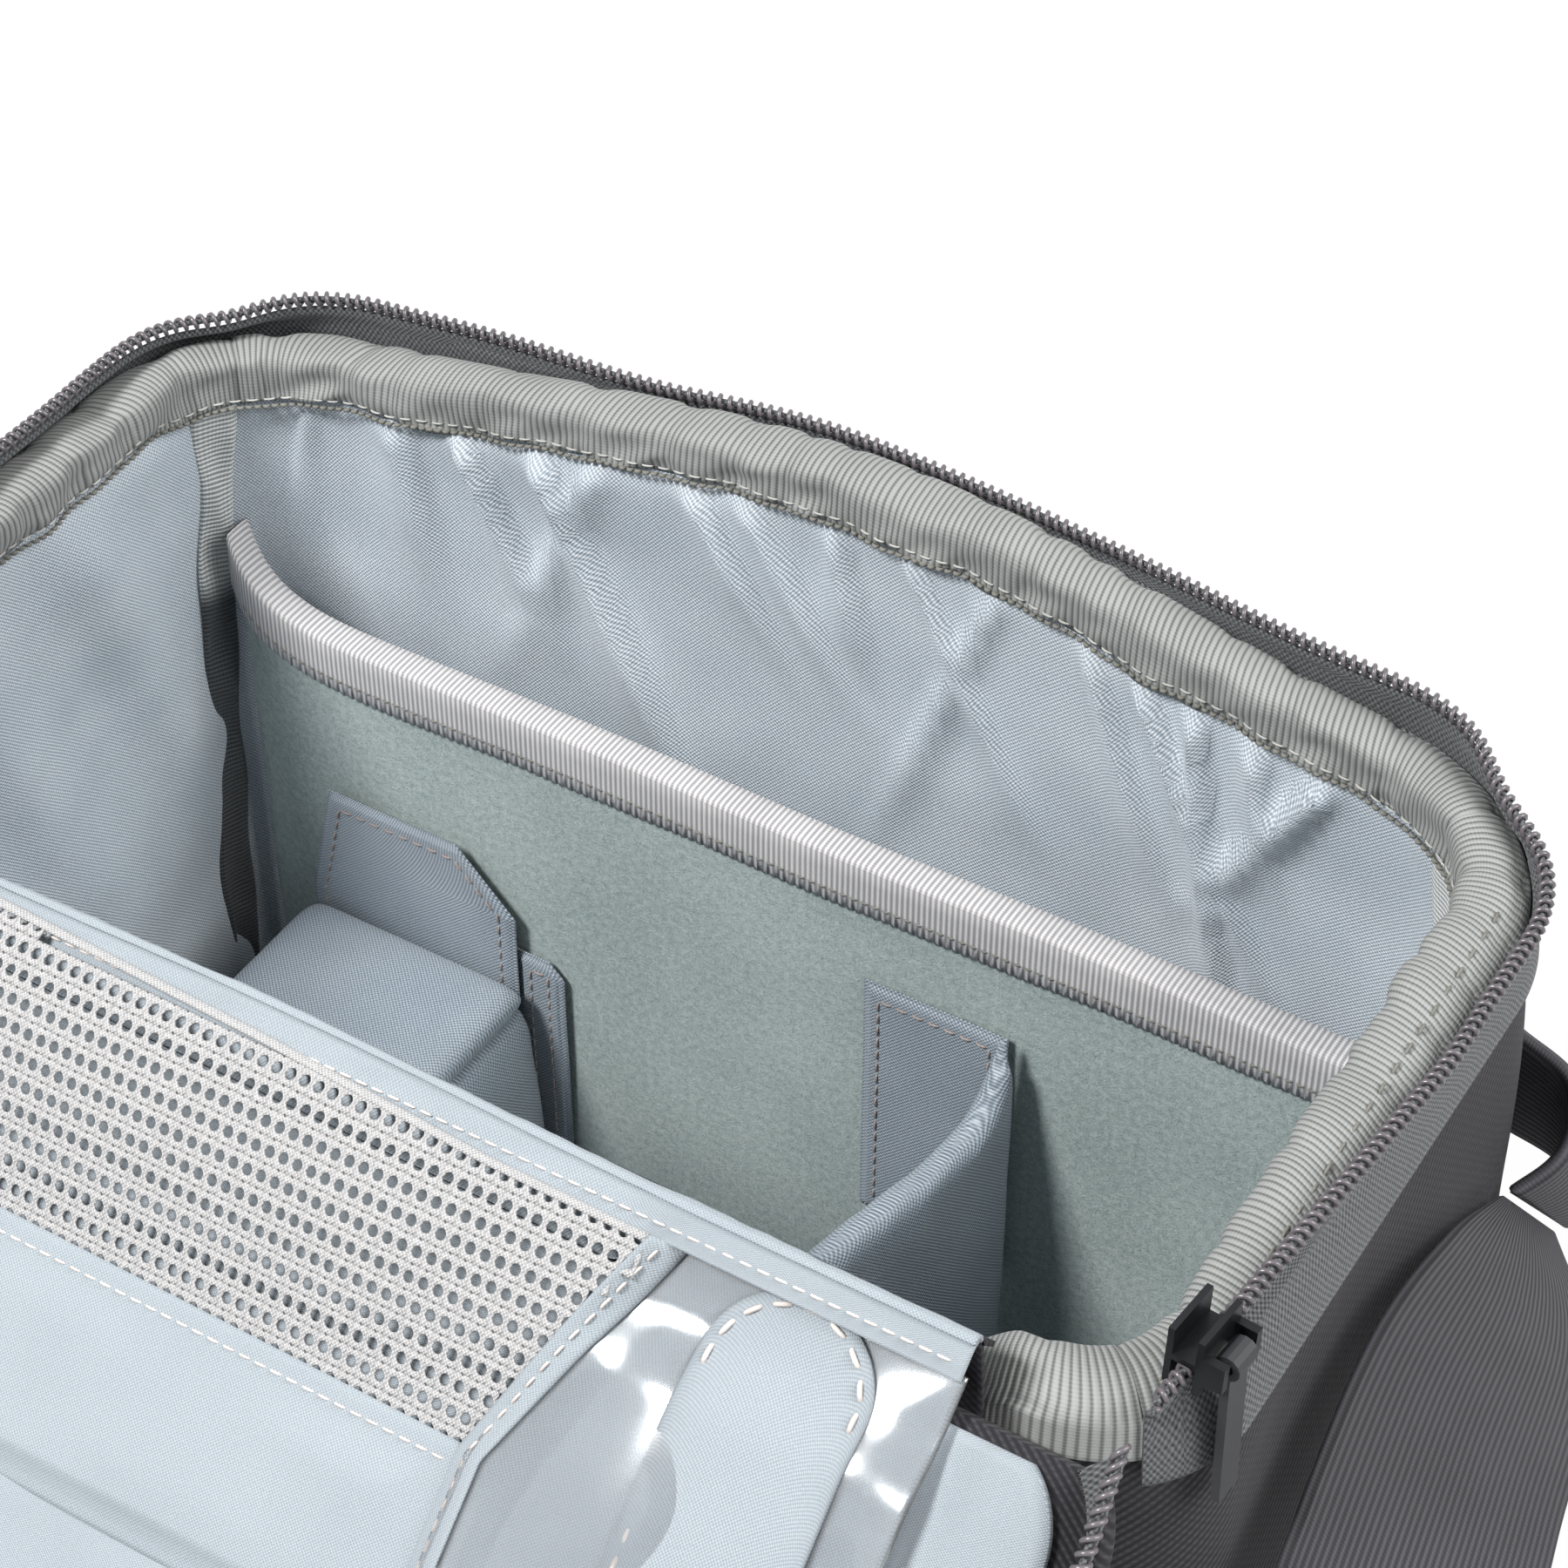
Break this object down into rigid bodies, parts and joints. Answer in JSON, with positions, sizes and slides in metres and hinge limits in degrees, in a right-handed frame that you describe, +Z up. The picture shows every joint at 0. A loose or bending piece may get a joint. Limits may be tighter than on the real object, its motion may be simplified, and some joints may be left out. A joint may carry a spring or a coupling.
{
  "type": "camera shoulder bag",
  "caption": "Padded shoulder bag with its zipped lid folded open, a tablet pocket and two movable dividers inside, a net and card pocket in the lid, and a wide webbing strap.",
  "frame": {"origin": "middle of the flat underside of the base, on the surface that the bag stands on", "axes": "+X along the bag's length to the tablet pocket user's right, +Y from the front to the rear wall, +Z up"},
  "size_m": [0.3928, 0.319, 0.2533],
  "materials": {
    "shell": "charcoal twill",
    "lining": "blue-grey coated nylon, slight sheen",
    "binding": "ribbed grosgrain",
    "loop_cloth": "brushed loop pile",
    "divider_cloth": "nylon with a slight sheen",
    "net": "knitted net",
    "window": "clear flexible sheet",
    "zip_tape": "knitted tape",
    "zip_coil": "moulded coil",
    "slider": "dark painted die-cast",
    "pull": "matte",
    "webbing": "woven webbing, ribs along it",
    "pad_cloth": "charcoal twill over foam",
    "buckle": "satin moulded"
  },
  "bodies": {
    "bag": {"base_panel": "shell", "left_wall": "shell", "rear_wall": "shell", "right_wall": "shell", "front_wall": "shell", "left_lining": "lining", "rear_lining": "lining", "right_lining": "lining", "front_lining": "lining", "floor_pad": "lining", "rim_binding": "binding", "corner_tape_rear_left": "binding", "corner_tape_rear_right": "binding", "corner_tape_front_right": "binding", "corner_tape_front_left": "binding", "tablet_pocket_panel": "loop_cloth", "tablet_pocket_binding": "binding", "body_zip_tape": "zip_tape", "body_zip_coil": "zip_coil", "lid_hinge_strip": "shell", "front_pouch": "shell", "front_pouch_binding": "binding", "strap_loop_left": "webbing", "strap_loop_right": "webbing", "strap_drop_left": "webbing", "strap_drop_right": "webbing", "strap_run": "webbing", "strap_tail": "webbing"},
    "lid": {"lid_panel": "shell", "lid_lining": "lining", "lid_hem": "lining", "lid_zip_tape": "zip_tape", "lid_zip_coil": "zip_coil", "lid_net_pocket": "net", "lid_net_seam": "lining", "card_window": "window", "card_window_tape": "lining", "card_window_patch": "lining", "handle_anchor_left": "webbing", "handle_anchor_right": "webbing"},
    "handle": {"carry_handle": "webbing"},
    "left_divider": {"left_divider_post": "divider_cloth", "left_divider_rear_tab": "divider_cloth", "left_divider_front_tab": "divider_cloth"},
    "shelf": {"shelf_flap": "divider_cloth", "shelf_rear_tab": "divider_cloth", "shelf_front_tab": "divider_cloth"},
    "right_divider": {"right_divider_panel": "divider_cloth", "right_divider_rear_tab": "divider_cloth", "right_divider_front_tab": "divider_cloth"},
    "slider_left": {"zip_slider_left": "slider"},
    "slider_right": {"zip_slider_right": "slider"},
    "pull_left": {"zip_pull_left": "pull"},
    "pull_right": {"zip_pull_right": "pull"},
    "shoulder_pad": {"shoulder_pad": "pad_cloth"},
    "buckle": {"strap_buckle": "buckle"}
  },
  "joints": [
    {"name": "lid_hinge", "type": "hinge", "parent": "bag", "child": "lid", "pos_m": [0, -0.083, 0.251], "axis": [1, 0, 0], "range_deg": [-222, 0]},
    {"name": "handle_hinge", "type": "hinge", "parent": "lid", "child": "handle", "pos_m": [0, -0.15272, 0.16105], "axis": [1, 0, 0], "range_deg": [-48, 132]},
    {"name": "left_divider_slide", "type": "slide", "parent": "bag", "child": "left_divider", "axis": [1, 0, 0], "range_m": [-0.01, 0.03]},
    {"name": "shelf_hinge", "type": "hinge", "parent": "left_divider", "child": "shelf", "pos_m": [-0.06, 0, 0.1153], "axis": [0, 1, 0], "range_deg": [0, 100]},
    {"name": "right_divider_slide", "type": "slide", "parent": "bag", "child": "right_divider", "axis": [1, 0, 0], "range_m": [-0.025, 0.035]},
    {"name": "slider_left_slide", "type": "slide", "parent": "bag", "child": "slider_left", "axis": [0, 1, 0], "range_m": [0, 0.066]},
    {"name": "slider_right_slide", "type": "slide", "parent": "bag", "child": "slider_right", "axis": [0.0785, 0.9955, -0.0533], "range_m": [0, 0.066]},
    {"name": "pull_left_hinge", "type": "hinge", "parent": "slider_left", "child": "pull_left", "pos_m": [-0.1392, -0.066, 0.2478], "axis": [0, 1, 0], "range_deg": [0, 140]},
    {"name": "pull_right_hinge", "type": "hinge", "parent": "slider_right", "child": "pull_right", "pos_m": [0.14149, -0.06629, 0.2479], "axis": [0.0785, 0.9955, -0.0533], "range_deg": [-150, 0]},
    {"name": "pad_slide", "type": "slide", "parent": "bag", "child": "shoulder_pad", "axis": [1, 0, 0], "range_m": [-0.005, 0.012]},
    {"name": "buckle_slide", "type": "slide", "parent": "bag", "child": "buckle", "axis": [1, 0, 0], "range_m": [-0.003, 0.016]}
  ]
}
